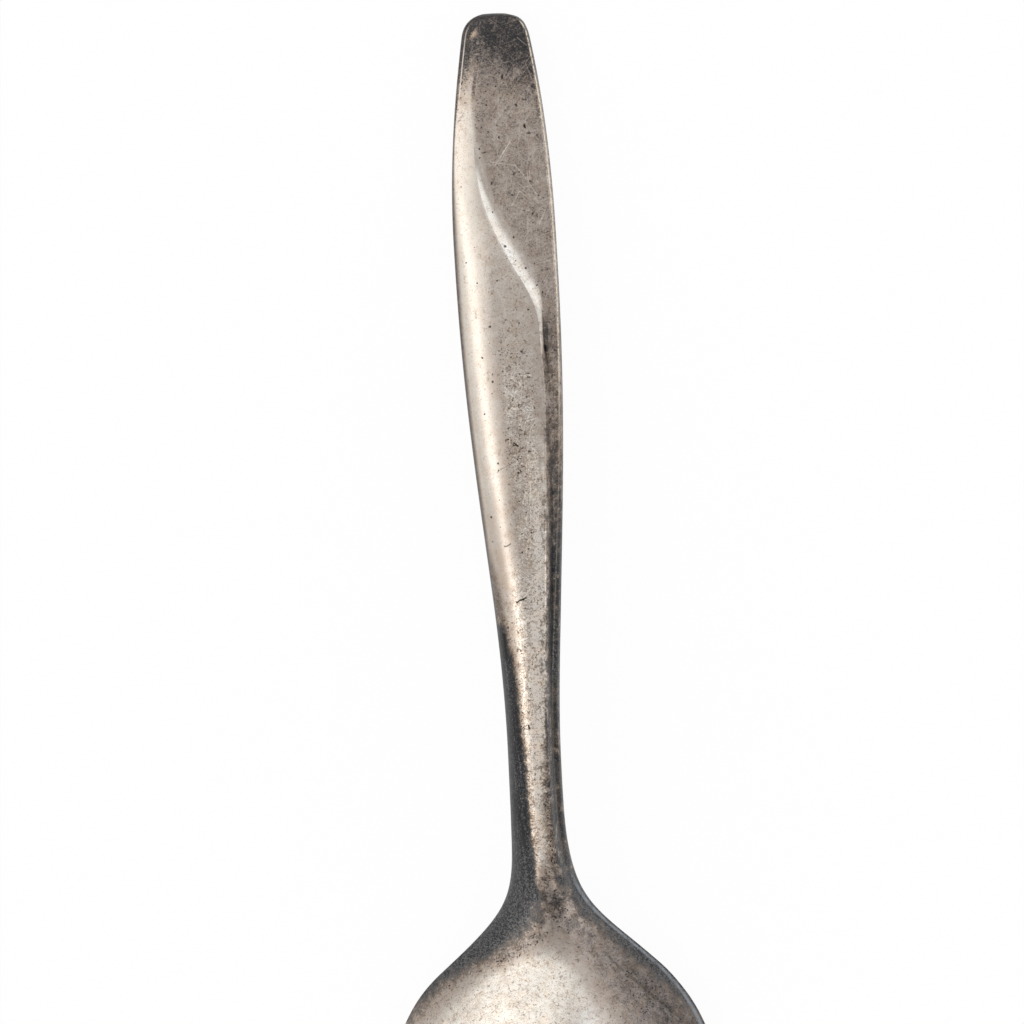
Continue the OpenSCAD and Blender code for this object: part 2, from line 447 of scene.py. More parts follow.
def hollow_edge(d, inner_x):
    """Half chord of the hollow's edge that belongs to a section, and its distance from the end."""
    angle = np.where(
        d > SHOULDER_END[0],
        np.arccos(np.clip((BOWL_AT - d) / BOWL_R, -1, 1)),
        SHOULDER_A * share(d, HEEL_AT, SHOULDER_END[0]),
    )
    near = BOWL_AT - HOLLOW_R * math.cos(RIM_TILT)
    drawn = ease(d, HEEL_AT - HEEL_L, HEEL_AT)
    on_bowl = d > HEEL_AT
    half = np.where(on_bowl, HOLLOW_R * np.sin(angle), mix(FACE_SHARE * inner_x, 0, drawn))
    place = np.where(on_bowl, BOWL_AT - HOLLOW_R * np.cos(angle) * math.cos(RIM_TILT), mix(d, near, drawn))
    return half, place


def front_grid(rings):
    """The lower edges, the front face and the hollow, from right to left."""
    joint_z = front_z(np.array(JOINT_AT)) + NECK_T / 2
    d = rings + lean(rings) * (front_z(rings) - joint_z)
    w = half_width(d)
    tangent_d, tangent_w = np.gradient(rings), np.gradient(half_width(rings))
    length = np.hypot(tangent_d, tangent_w)
    normal_x = mix(1, tangent_d / length, bowl_share(d))
    normal_d = -tangent_w / length * bowl_share(d)
    r = np.minimum(GIRDLE_H, mix(LOWER_SHARE * w, GIRDLE_H, bowl_share(d)))
    inner_x, inner_d = np.maximum(0, w - r * normal_x), d - r * normal_d
    inner_z = face_z(inner_x, inner_d)
    girdle_z = front_z(d) + GIRDLE_H
    half, place = hollow_edge(d, inner_x)
    right = []
    for k in range(1, LOWER_N + 1):
        a = math.pi / 2 * k / LOWER_N
        right.append((inner_x + (w - inner_x) * math.cos(a), mix(d, inner_d, 1 - math.cos(a)),
                      mix(girdle_z, inner_z, math.sin(a))))
    for k in range(1, FACE_N):
        x, along = mix(inner_x, half, k / FACE_N), mix(inner_d, place, k / FACE_N)
        right.append((x, along, face_z(x, along)))
    across = np.cos(math.pi * np.linspace(0, 1, HOLLOW_N + 1))
    middle = [(half * c, place, hollow_z(half * c, place)) for c in across]
    left = [(-x, along, z) for x, along, z in reversed(right)]
    columns = np.array([np.broadcast_arrays(*c) for c in right + middle + left])
    return columns[:, 0], columns[:, 1], columns[:, 2]


def hollow_z(x, d):
    """Height of the front face, lifted to the ball that the bowl is dished with."""
    drop = BOWL_DEPTH - BALL_R
    ball_d = BOWL_AT + drop * math.sin(RIM_TILT)
    ball_z = rim_z(BOWL_AT) + drop * math.cos(RIM_TILT)
    dish = ball_z + np.sqrt(np.maximum(0, BALL_R ** 2 - x ** 2 - (d - ball_d) ** 2))
    return np.where(d > HEEL_AT, np.maximum(face_z(x, d), dish), face_z(x, d))


def spoon_grid():
    """Points in millimetres as [section, place round it, xyz], and the index of the joint's first one."""
    rings, joint = stations()
    x, d, z = (np.concatenate(pair) for pair in zip(back_grid(rings), front_grid(rings)))
    bow = END_BOW * np.maximum(0, 1 - (x / BOW_HALF) ** 2) * fade(d, BOW_ALONG)
    corner = END_CORNER * fade(x, CORNER_ACROSS) * fade(d, CORNER_ALONG)
    filed = bow + corner - END_SLANT * x * fade(d, SLANT_ALONG)
    points = np.stack([x + sway(d), SPOON_L / 2 - d + filed, np.maximum(z, 0)], axis=-1)
    return points.transpose(1, 0, 2), joint


def solid(name, grid):
    """A closed mesh through the sections of a grid, with a cap on each end that has a width."""
    count, n = grid.shape[:2]
    merged = np.round(grid.reshape(-1, 3), MERGE_DECIMALS)
    points, place = np.unique(merged, axis=0, return_inverse=True)
    place = place.reshape(count, n)
    after = np.roll(place, -1, axis=1)
    quads = np.stack([place[:-1], place[1:], after[1:], after[:-1]], axis=-1).reshape(-1, 4).tolist()
    ends = ((grid[0], place[0]), (grid[-1], place[-1][::-1]))
    faces = quads + [ring.tolist() for section, ring in ends if np.ptp(section[:, 0]) > STEP]
    trimmed = [list(dict.fromkeys(face)) for face in faces]
    mesh = bpy.data.meshes.new(name)
    mesh.from_pydata((points * MM).tolist(), [], [face for face in trimmed if len(face) > 2])
    mesh.validate()
    mesh.shade_smooth()
    mesh.set_sharp_from_angle(angle=SHARP_ANGLE)
    add_surface_values(mesh, points)
    piece = bpy.data.objects.new(name, mesh)
    bpy.context.scene.collection.objects.link(piece)
    return piece


# Where the silver is tarnished, filmed, rubbed bright or clean, and where shade and highlights are painted.
# Places are in millimetres: along from the end of the handle, and across from the middle line, an edge or a
# border. An area is given by the stops between which it fades in and out, first across and then along. A
# level is given by its start and, for each change, by the stretch over which it comes and the new level.

# Borders: distance from the end, and place across
FLANK_LEFT = (
    (23.0, -2.10), (26.5, -1.65), (28.0, -1.35), (29.6, -1.15), (30.6, -0.95), (31.3, -0.80), (32.5, -0.68),
    (34.0, -0.60), (35.2, -0.50), (36.6, -0.40), (38.0, -0.36), (40.5, -0.32), (42.0, -0.30), (43.2, -0.10),
)
LEDGE = (
    (13.6, 1.95), (14.6, 1.60), (16.0, 1.56), (19.1, 1.40), (21.8, 1.28), (23.8, 1.22), (25.8, 1.12),
    (27.2, 0.97), (28.5, 0.85), (30.5, 0.70), (32.5, 0.60), (34.5, 0.47), (35.9, 0.41), (38.0, 0.41),
    (41.0, 0.60),
)
SHADE_RIGHT = ((33.0, 0.75), (35.0, 0.45), (37.0, 0.20), (42.0, 0.15))
SLATE_LEFT = (
    (42.5, -0.2), (43.5, 0.1), (44.5, -0.9), (45.5, -2.6), (46.5, -4.6), (47.3, -5.5), (49.0, -7.1),
)
SLATE_RIGHT = (
    (41.2, 0.65), (42.0, 0.45), (43.5, 1.2), (44.5, 2.3), (45.5, 3.2), (46.5, 4.4), (47.3, 5.4), (49.0, 6.9),
)
FILM_LEFT = ((43.5, 2.0), (44.5, 0.9), (45.5, -0.8), (46.5, -3.5), (47.3, -4.8), (49.0, -6.4))
# Border of the film and painted shade on the right side of the bowl
FILM_AND_SHADE_RIGHT = ((43.0, -1.0), (44.0, 0.0), (45.0, 0.8), (46.5, 2.0), (47.5, 2.6), (50.0, 3.4))
# Inset of the rubbed line with a painted highlight along the right edge
WEAR_HIGHLIGHT_IN = ((2.0, 0.13), (14.0, 0.13), (22.0, 0.20), (32.0, 0.35), (40.0, 0.36))


def border(places, d):
    along, across = zip(*places)
    return np.interp(d, along, across)


def area(v, d, across, along):
    return fade(v, across) * fade(d, along)


def level(d, first, *changes):
    value = first
    for start, stop, new in changes:
        value = mix(value, new, ease(d, start, stop))
    return value


# Beige patch near the end: its middle, how far it lies off it along its slant, and its length and width
BEIGE_X, BEIGE_D = -0.975, 0.85
BEIGE_OFF, BEIGE_L, BEIGE_W = 0.12, 0.28, 0.09


def beige_at(x, d):
    """Slanting beige patch near the end."""
    right, up = x - BEIGE_X, BEIGE_D - d
    along, across = (right + up) / math.sqrt(2), (right - up) / math.sqrt(2)
    return np.exp(-((along + BEIGE_OFF) / BEIGE_L) ** 2 - (across / BEIGE_W) ** 2)


# Film on the spine: its level, and the areas where it is thinner or thicker
SPINE_FILM = (0.28, (13, 18, 0.38), (23, 30, 0.20))
STRIPE = ((-0.6, -0.35, -0.1, 0.5), (7, 9, 16, 18.5))
STRIPE_THINNER = 0.6
LEFT_SIDE = ((1.7, 0.9), (4, 7, 22, 26))
LEFT_THINNER = (0.07, (14, 17, 0.15))
STRIP_FROM = (0.1, (28, 34, -0.35))
STRIP_TO = (0.6, (28, 34, 0.05))
STRIP_ALONG = (18, 21, 40, 42)
STRIP_THINNER = (0.12, (24, 31, 0.29))
STRIP_RIGHT = ((0.35, 0.7), (20, 22, 28, 31))
RIGHT_THINNER = 0.10
FLANK_HALO = ((0.0, 0.2, 0.5, 0.9), (25, 28, 34, 37))
HALO_THICKER = 0.12


def spine_film(x, d):
    """Film on the spine: thinner on the stripe by the crease, at left and on the strip down to the neck."""
    on_stripe = area((x - crease_x(d)) / crease_run(d), d, *STRIPE)
    film_and_shade = level(d, *SPINE_FILM) * (1 - STRIPE_THINNER * on_stripe)
    film_and_shade = film_and_shade - level(d, *LEFT_THINNER) * area(x + half_width(d), d, *LEFT_SIDE)
    on_strip = ease(x, level(d, *STRIP_FROM), level(d, *STRIP_TO)) * fade(d, STRIP_ALONG)
    film_and_shade = film_and_shade - level(d, *STRIP_THINNER) * on_strip - RIGHT_THINNER * area(x, d, *STRIP_RIGHT)
    return film_and_shade + HALO_THICKER * area(x - border(FLANK_LEFT, d), d, *FLANK_HALO)


# Film along the crease, and a darker line at the root of its slope
RIDGE_FILM = (0.78, (20, 26, 0.66))
RIDGE_FROM = (-0.12, (21, 25, 0.0))
RIDGE_TO = (0.10, 0.45, 0.55)
RIDGE_ALONG = (15.9, 17.0, 39, 42)
# Darker line at the root of the slope's turn into the ledge
ROOT_DARK = 0.90
ROOT = ((0.0, 0.08, 0.22, 0.45), (14.2, 15.2, 16.5, 18.5))
FLAT_FILM = (0.64, (13, 16, 0.76))
FLAT_FROM = (-0.55, (4.5, 7.5, 0.0), (8, 10.5, 0.18), (12.5, 15, -0.04))
FLAT_RUN = (0.5, (12.5, 15, 0.16))
FLAT_ALONG = (20, 17)


def crease_film(x, d):
    """Film on the slope along the shank and on the flat, and a darker line at the root of its turn into the
    ledge.
    """
    off_top, off_crease = x - crease_span(d)[0], x - crease_x(d)
    on_ridge = fade(off_top, (level(d, *RIDGE_FROM), *RIDGE_TO)) * fade(d, RIDGE_ALONG)
    on_flat = ease(off_crease - level(d, *FLAT_FROM), 0, level(d, *FLAT_RUN)) * fade(d, FLAT_ALONG)
    films = [
        level(d, *RIDGE_FILM) * on_ridge,
        ROOT_DARK * area(off_crease, d, *ROOT),
        level(d, *FLAT_FILM) * on_flat,
    ]
    return np.max(films, axis=0)


# Film and painted shade on the sides of the handle and round the neck
# Painted shade inside the right edge near the end, and in the groove along the left
RIGHT_SHADE, RIGHT_SIDE = 0.76, ((0.10, 0.22, 0.35, 0.65), (1.5, 3.0, 5.0, 7.0))
GROOVE_SHADE, GROOVE = 0.80, ((0.62, 0.84, 0.88, 1.1), (2.0, 2.9, 3.8, 4.8))
# Film and painted shade on the ledge and on the left flank
LEDGE_FILM_AND_SHADE, ON_LEDGE = 0.69, ((-0.05, 0.30), (15, 17, 41, 43))
FLANK_FILM_AND_SHADE, FLANK_FROM = 0.80, -0.1
FLANK_TO = (0.5, (27, 31, 0.36))
FLANK_ALONG = (23, 27, 42, 44)
# Painted shade on the right of the neck crest
PAINTED_SHADE, SHADE = 0.80, ((-0.15, 0.45), (33, 36, 42, 44))
NECK_FILM, NECK_BAND = 0.82, (40.2, 42.4, 43.8, 45.6)


def side_film_and_shade(x, d):
    """Painted shade inside the edges near the end and right of the neck, film and painted shade on ledge and
    flank.
    """
    w = half_width(d)
    off_flank = ease(x - border(FLANK_LEFT, d), FLANK_FROM, level(d, *FLANK_TO))
    films = [
        RIGHT_SHADE * area(w - x, d, *RIGHT_SIDE),
        GROOVE_SHADE * area(x + w, d, *GROOVE),
        LEDGE_FILM_AND_SHADE * area(x - border(LEDGE, d), d, *ON_LEDGE),
        FLANK_FILM_AND_SHADE * (1 - off_flank) * fade(d, FLANK_ALONG),
        PAINTED_SHADE * area(x - border(SHADE_RIGHT, d), d, *SHADE),
        NECK_FILM * fade(d, NECK_BAND),
    ]
    return np.max(films, axis=0)


# Painted shade: dark lines along both edges of the handle
EDGE_SHADE = 0.92
LEFT_LINE_FROM = (0.10, (4, 6, 0.03))
LEFT_LINE_TO = (0.16, (6, 11, 0.32))
RIGHT_LINE = (0.08, 0.03)


# Painted shade along both edges of the handle
def edge_shade(x, d):
    w = half_width(d)
    left = 1 - ease(x + w, level(d, *LEFT_LINE_FROM), level(d, *LEFT_LINE_TO))
    return EDGE_SHADE * np.maximum(left, fade(w - x, RIGHT_LINE))


# Film on the bowl, and painted shade on its right side
BOWL_FILM = 0.12
BOWL_LEFT_FILM, BOWL_LEFT_FADE = 0.82, (1.9, -2.0)
# Film and painted shade on the right side of the bowl
BOWL_RIGHT_FILM_AND_SHADE, BOWL_RIGHT_FADE = 0.74, (-1.8, 0.9)
BOWL_FAR_FILM_AND_SHADE, BOWL_FAR_FADE = 0.14, (0.5, 3.0)


def bowl_film_and_shade(x, d):
    """Film on the bowl: little in the middle and more towards both shoulders, with painted shade on its
    right side.
    """
    left = BOWL_LEFT_FILM * fade(x - border(FILM_LEFT, d), BOWL_LEFT_FADE)
    past = x - border(FILM_AND_SHADE_RIGHT, d)
    right = BOWL_RIGHT_FILM_AND_SHADE * fade(past, BOWL_RIGHT_FADE) + BOWL_FAR_FILM_AND_SHADE * fade(past, BOWL_FAR_FADE)
    return np.max([np.full_like(d, BOWL_FILM), left, right], axis=0)


# Dark tip, which reaches further along at right and at left
TIP_RIGHT, TIP_RIGHT_FADE = 0.8, (-0.2, 1.2)
TIP_LEFT, TIP_LEFT_FADE = 0.95, (1.0, 0.2)
TIP_ALONG = (0.9, 4.3)
BEIGE_THINNER = 0.45
BOWL_FROM = (43.2, 44.8)


def film_and_shade_at(x, d):
    """Grey-brown film with painted shade mixed in at places, from clean at 0 to dark at 1."""
    handle = np.max([spine_film(x, d), crease_film(x, d), side_film_and_shade(x, d)], axis=0)
    reach = TIP_RIGHT * fade(x, TIP_RIGHT_FADE) + TIP_LEFT * fade(x + half_width(d), TIP_LEFT_FADE)
    handle = mix(1.0, handle, fade(d - reach, TIP_ALONG)) - BEIGE_THINNER * beige_at(x, d)
    return mix(np.maximum(handle, edge_shade(x, d)), bowl_film_and_shade(x, d), fade(d, BOWL_FROM))


# Black tarnish on the left flank, on the ledge and on both shoulders, with painted shade on the flank and
# ledge
DARK_FLANK = ((0.20, -0.25), (28.6, 30.2, 42.5, 44))
DARK_LEDGE = (0.32, (18, 28, 0.81), (29, 33, 0.70))
LEDGE_EDGE, LEDGE_INSIDE = (-0.45, -0.05), (-0.05, 0.30)
LEDGE_EDGE_SHARE = 0.4
LEDGE_ALONG = (14.5, 17, 41, 43)
DARK_LEFT = ((1.0, -1.5), (42.0, 43.2))
DARK_RIGHT = ((-0.8, 1.2), (40.6, 42))


def dark_at(x, d):
    """Black tarnish, and painted shade on the flank and the ledge: its ragged border lies where this is one
    half.
    """
    past = x - border(LEDGE, d)
    on_ledge = mix(fade(past, LEDGE_INSIDE), fade(past, LEDGE_EDGE), LEDGE_EDGE_SHARE) * fade(d, LEDGE_ALONG)
    tarnish = [
        area(x - border(FLANK_LEFT, d), d, *DARK_FLANK),
        level(d, *DARK_LEDGE) * on_ledge,
        area(x - border(SLATE_LEFT, d), d, *DARK_LEFT),
        area(x - border(SLATE_RIGHT, d), d, *DARK_RIGHT),
    ]
    return np.max(tarnish, axis=0)


# How far blotches break up the film
RAGGED_LEDGE = (0.6, (18, 24, 1.0))
RAGGED_LEDGE_AREA = ((-0.45, -0.1), (14, 16, 41, 43))
RAGGED_TIP, RAGGED_TIP_ALONG = 0.32, (0.2, 1.0, 3.2, 5.0)
THROAT_ALONG = (32, 39, 44, 45.5)
THROAT_MORE, THROAT_MORE_ALONG = 0.5, (39.5, 41, 43, 44)
RAGGED_PLAIN = 0.25
RAGGED_LEFT, RAGGED_LEFT_AREA = 0.2, ((2.0, 0.9), (4, 7, 26, 30))


def ragged_at(x, d):
    """How far blotches break up the film: least at left, and most at the throat above the bowl."""
    parts = [
        RAGGED_TIP * fade(d, RAGGED_TIP_ALONG),
        (1 + THROAT_MORE * fade(d, THROAT_MORE_ALONG)) * fade(d, THROAT_ALONG),
        level(d, *RAGGED_LEDGE) * area(x - border(LEDGE, d), d, *RAGGED_LEDGE_AREA),
        RAGGED_PLAIN - RAGGED_LEFT * area(x + half_width(d), d, *RAGGED_LEFT_AREA),
    ]
    return np.max(parts, axis=0)


# Strength of the fine texture
GRIT = (0.65, (1.5, 4.5, 1.0))
GRIT_LEFT, GRIT_LEFT_AREA = 0.75, ((2.2, 0.9), (4, 7, 26, 30))
GRIT_MIDDLE, GRIT_MIDDLE_AREA = 1.2, ((-0.9, -0.3, 0.7, 1.1), (15, 18, 40, 43))
GRIT_STRIPE, GRIT_STRIPE_AREA = 0.4, ((-0.5, -0.3, 0.2, 0.5), (7, 9, 15, 18))
GRIT_BOWL, GRIT_BOWL_AREA = 0.45, ((-1.5, 0.5), (43.5, 45))


def grit_at(x, d):
    """Strength of the fine texture: least on the bright left side, most along the middle of the shank."""
    grit = level(d, *GRIT) * (1 - GRIT_LEFT * area(x + half_width(d), d, *GRIT_LEFT_AREA))
    grit = grit * (1 + GRIT_MIDDLE * area(x, d, *GRIT_MIDDLE_AREA))
    grit = grit * (1 - GRIT_STRIPE * area(x - crease_x(d), d, *GRIT_STRIPE_AREA))
    return grit * (1 - GRIT_BOWL * area(x - border(FILM_AND_SHADE_RIGHT, d), d, *GRIT_BOWL_AREA))


# Strength of the fine scratches
SCRATCHED_FLAT = ((0.2, 0.7), (2, 5, 13, 15))
SCRATCHED_TIP = ((0.3, 0.6), (0.1, 0.4, 3, 5))
SCRATCHED_SHANK, SCRATCHED_SHANK_AREA = 0.6, ((-0.9, -0.3, 0.8, 1.2), (15, 18, 40, 43))
SCRATCHED_LEAST = 0.2


def scratched_at(x, d):
    """Strength of the fine scratches: most on the flat below the crease and near the end."""
    parts = [
        area(x - crease_x(d), d, *SCRATCHED_FLAT),
        area(x + half_width(d), d, *SCRATCHED_TIP),
        SCRATCHED_SHANK * area(x, d, *SCRATCHED_SHANK_AREA),
        np.full_like(d, SCRATCHED_LEAST),
    ]
    return np.max(parts, axis=0)


# How far the film is browned
WARM_SHANK = (0.0, (15, 24, 0.6), (28, 33, 1.0), (40, 43, 0.0))
WARM_BEIGE = 1.4
COOL_TIP, COOL_TIP_AREA = 0.5, ((-0.9, -0.5, 1.0, 1.4), (4.0, 2.0))
COOL_LEFT, COOL_LEFT_AREA = 0.5, ((1.8, 0.9), (4, 7, 24, 28))


def warm_at(x, d):
    """How far the film is browned: most at the neck and in the beige patch, least round it and at left."""
    warm = np.maximum(level(d, *WARM_SHANK), WARM_BEIGE * beige_at(x, d))
    warm = warm - COOL_TIP * area(x, d, *COOL_TIP_AREA)
    return warm - COOL_LEFT * area(x + half_width(d), d, *COOL_LEFT_AREA)


# Lines along the edges, two with painted highlights and one painted as a reflection: how far they lie in,
# how they fade to each side, and where they run
WEAR_HIGHLIGHT = (1.0, (15, 22, 0.15))
WEAR_HIGHLIGHT_AREA = ((0.05, 0.01), (0.25, 0.6, 38, 41))
POLISH_HIGHLIGHT_IN = 0.185
POLISH_HIGHLIGHT = (0.45, (1, 2, 0.8))
POLISH_HIGHLIGHT_AREA = ((0.04, 0.008), (0.3, 0.9, 3.2, 4.6))
GLEAM_IN = 0.2
GLEAM_AREA = ((0.12, 0.04), (41, 43))


def wear_highlight_at(x, d):
    """Rubbed line along the right edge, with a painted highlight."""
    return level(d, *WEAR_HIGHLIGHT) * area(np.abs(half_width(d) - x - border(WEAR_HIGHLIGHT_IN, d)), d, *WEAR_HIGHLIGHT_AREA)


def polish_highlight_at(x, d):
    """Pale polished line inside the left edge near the end, with a painted highlight."""
    return level(d, *POLISH_HIGHLIGHT) * area(np.abs(half_width(d) + x - POLISH_HIGHLIGHT_IN), d, *POLISH_HIGHLIGHT_AREA)


def gleam_at(x, d):
    """Painted cool reflection: a light line along the rim of the right shoulder."""
    return area(np.abs(half_width(d) - x - GLEAM_IN), d, *GLEAM_AREA)


# The tarnish is greyed on the shoulders, marks and pits keep off the edges, and the front is plain
PALE_ALONG = (38.5, 44.5)
MARKED_IN = (0.12, 0.3)
PITTED_AREA = ((0.25, 0.45), (44, 41))
BACK_FROM = 0.9
FRONT_FILM, FRONT_RAGGED = 0.3, 0.2


def add_surface_values(mesh, points):
    d = SPOON_L / 2 - points[:, 1]
    x = points[:, 0] - sway(d)
    inside = half_width(d) - np.abs(x)
    on_back = points[:, 2] > front_z(d) + GIRDLE_H * BACK_FROM
    values = {
        "film_and_shade": np.where(on_back, film_and_shade_at(x, d), FRONT_FILM),
        "dark": dark_at(x, d) * on_back,
        "ragged": np.where(on_back, ragged_at(x, d), FRONT_RAGGED),
        "pale": fade(d, PALE_ALONG),
        "grit": grit_at(x, d),
        "scratched": scratched_at(x, d),
        "warm": warm_at(x, d),
        "wear_highlight": wear_highlight_at(x, d) * on_back,
        "polish_highlight": polish_highlight_at(x, d) * on_back,
        "gleam": gleam_at(x, d) * on_back,
        "marked": fade(inside, MARKED_IN) * on_back,
        "pitted": area(inside, d, *PITTED_AREA) * on_back,
    }
    for name, value in values.items():
        mesh.attributes.new(name, "FLOAT", "POINT").data.foreach_set("value", value.astype(np.float32))


# Shader nodes

def add_node(tree, kind, inputs=None, **settings):
    node = tree.nodes.new(kind)
    for key, value in settings.items():
        setattr(node, key, value)
    for key, value in (inputs or {}).items():
        if isinstance(value, bpy.types.NodeSocket):
            tree.links.new(value, node.inputs[key])
        else:
            node.inputs[key].default_value = value
    return node


def maths(tree, operation, a, b=0.0, clamp=False):
    return add_node(tree, "ShaderNodeMath", {0: a, 1: b}, operation=operation, use_clamp=clamp).outputs[0]


def times(tree, a, b):
    return maths(tree, "MULTIPLY", a, b)


def plus(tree, *terms):
    """Sum of values, each given as a socket or as a socket and its factor."""
    total = None
    for term in terms:
        value = times(tree, *term) if isinstance(term, tuple) else term
        total = value if total is None else maths(tree, "ADD", total, value)
    return total


def vector_maths(tree, operation, a, b=(0, 0, 0), output="Vector"):
    return add_node(tree, "ShaderNodeVectorMath", {0: a, 1: b}, operation=operation).outputs[output]


def scaled(tree, vector, factor):
    return add_node(tree, "ShaderNodeVectorMath", {0: vector, "Scale": factor}, operation="SCALE").outputs[0]


def smooth(tree, value, low, high, to_low=0.0, to_high=1.0):
    names = {"Value": value, "From Min": low, "From Max": high, "To Min": to_low, "To Max": to_high}
    return add_node(tree, "ShaderNodeMapRange", names, interpolation_type="SMOOTHSTEP").outputs[0]


def noise(tree, vector, scale, detail=3.0, roughness=0.55, distortion=0.0):
    """Noise about zero."""
    names = {"Vector": vector, "Scale": scale, "Detail": detail, "Roughness": roughness}
    node = add_node(tree, "ShaderNodeTexNoise", {**names, "Distortion": distortion})
    return maths(tree, "SUBTRACT", node.outputs["Fac"], 0.5)


def thin_lines(tree, value, width):
    """Lines where a noise about zero changes its sign."""
    return smooth(tree, maths(tree, "ABSOLUTE", value), 0.0, width, 1.0, 0.0)


# Curved strokes: twist of their lines, fineness of what cuts them up, and where that keeps them
CURL_TWIST = 0.6
CURL_CUT = 1.7
CURL_KEPT = (0.0, 0.09)


def curls(tree, place, scale, offset, width):
    """Short curved strokes: lines of a noise, cut up by another one."""
    moved = vector_maths(tree, "ADD", place, (offset, offset, 0))
    line = thin_lines(tree, noise(tree, moved, scale, 1.0, 0.5, CURL_TWIST), width)
    return times(tree, line, smooth(tree, noise(tree, moved, CURL_CUT * scale, 1.0), *CURL_KEPT))


def blend(tree, factor, a, b, kind="MIX"):
    node = add_node(tree, "ShaderNodeMix", data_type="RGBA", blend_type=kind)
    for socket, value in zip((node.inputs[0], node.inputs[6], node.inputs[7]), (factor, a, b)):
        if isinstance(value, bpy.types.NodeSocket):
            tree.links.new(value, socket)
        else:
            socket.default_value = value
    return node.outputs[2]


def ramp(tree, value, stops):
    node = add_node(tree, "ShaderNodeValToRGB", {"Fac": value})
    elements = node.color_ramp.elements
    while len(elements) < len(stops):
        elements.new(0.5)
    for element, (place, colour) in zip(elements, stops):
        element.position = place
        element.color = (*colour, 1)
    return node.outputs["Color"]


def attribute(tree, name):
    return add_node(tree, "ShaderNodeAttribute", attribute_name=name).outputs["Fac"]


# Silver, from clean to dark with film and painted shade, in a grey and in a brown tone
SILVER_STOPS = (
    (0.0, (0.86, 0.83, 0.78)),
    (0.15, (0.70, 0.653, 0.582)),
    (0.3, (0.555, 0.493, 0.437)),
    (0.6, (0.40, 0.34, 0.295)),
    (0.8, (0.225, 0.192, 0.172)),
    (1.0, (0.046, 0.045, 0.047)),
)
BROWN_STOPS = (
    (0.0, (0.97, 0.83, 0.69)),
    (0.15, (0.64, 0.55, 0.46)),
    (0.3, (0.50, 0.41, 0.335)),
    (0.6, (0.33, 0.26, 0.205)),
    (0.8, (0.18, 0.135, 0.102)),
    (1.0, (0.045, 0.041, 0.038)),
)
# Black of the tarnish, which also paints the shade on the left flank and the ledge
SLATE_STOPS = ((0.0, (0.022, 0.023, 0.026)), (0.5, (0.050, 0.050, 0.053)), (1.0, (0.17, 0.166, 0.163)))
FRINGE = (0.34, 0.23, 0.14, 1)
# Painted highlight on the rubbed line along the right edge
GOLD_HIGHLIGHT = (1.0, 0.87, 0.68, 1)
# Painted highlight on the polished line inside the left edge
PALE = (0.80, 0.73, 0.64, 1)
# Painted cool reflection on the rim of the right shoulder
COOL = (0.42, 0.46, 0.50, 1)
PIT = (0.025, 0.022, 0.02, 1)

# Marks on the back: places of their ends as distance from the end and across, half width, and depth
DARK_MARKS = (
    ((28.49, -0.45), (28.32, -0.01), 0.055, 1.0),
    ((25.77, -0.92), (25.65, -0.57), 0.035, 0.7),
    ((20.80, -0.14), (20.96, 0.04), 0.055, 0.95),
    ((22.24, -1.24), (21.72, -0.15), 0.022, 0.5),
    ((21.27, 0.55), (21.27, 0.61), 0.06, 0.8),
    ((34.50, -0.24), (34.60, -0.22), 0.06, 1.0),
    ((30.00, -1.17), (31.20, -1.14), 0.10, 1.0),
    ((5.45, 1.26), (5.58, 1.31), 0.06, 1.0),
    ((5.88, 1.42), (5.90, 1.54), 0.05, 0.8),
    ((6.69, -0.84), (6.69, -0.70), 0.045, 0.9),
    ((3.02, 0.34), (3.12, 0.37), 0.06, 0.9),
    ((7.85, 0.60), (7.75, 0.68), 0.05, 0.7),
    ((14.60, -0.56), (15.02, 0.11), 0.025, 0.45),
    ((16.20, 1.65), (16.40, 1.66), 0.10, 0.9),
    ((45.63, 2.74), (46.60, 3.66), 0.07, 0.30),
    ((46.75, 3.86), (47.50, 4.62), 0.09, 0.42),
    ((47.62, 4.70), (48.90, 6.10), 0.09, 0.34),
)
LIGHT_MARKS = (
    ((7.33, -0.26), (6.17, 0.58), 0.026, 0.8),
    ((7.18, -0.40), (7.39, 0.70), 0.024, 0.7),
    ((7.39, 0.70), (8.10, 1.24), 0.024, 0.8),
    ((8.10, 1.24), (8.90, 1.68), 0.024, 0.7),
    ((9.31, 0.44), (8.64, 0.85), 0.024, 0.6),
    ((8.64, 0.85), (8.98, 1.21), 0.024, 0.6),
    ((7.75, 1.27), (8.25, 1.27), 0.022, 0.6),
    ((7.70, 1.37), (8.20, 1.37), 0.022, 0.6),
    ((9.50, 2.10), (10.30, 1.70), 0.024, 0.6),
    ((9.90, 2.15), (10.60, 1.85), 0.022, 0.5),
    ((1.22, 1.18), (1.63, 1.62), 0.020, 0.8),
    ((2.34, 1.45), (3.46, 1.83), 0.020, 0.5),
)


# Share of a stroke's half width where it starts to fade, and where it is gone
STROKE_INNER, STROKE_OUTER = 0.4, 1.3


def mark(tree, place, start, stop, half, depth):
    """A stroke between two places, as a value from 0 to its depth."""
    a = (start[1], SPOON_L / 2 - start[0], 0)
    run = (stop[1] - start[1], start[0] - stop[0], 0)
    length = math.hypot(*run)
    from_a = vector_maths(tree, "SUBTRACT", place, a)
    per_length = tuple(v / length ** 2 for v in run)
    along = vector_maths(tree, "DOT_PRODUCT", from_a, per_length, "Value")
    foot = scaled(tree, run, maths(tree, "ADD", along, 0.0, clamp=True))
    away = vector_maths(tree, "DISTANCE", from_a, foot, "Value")
    return smooth(tree, away, half * STROKE_INNER, half * STROKE_OUTER, depth, 0.0)


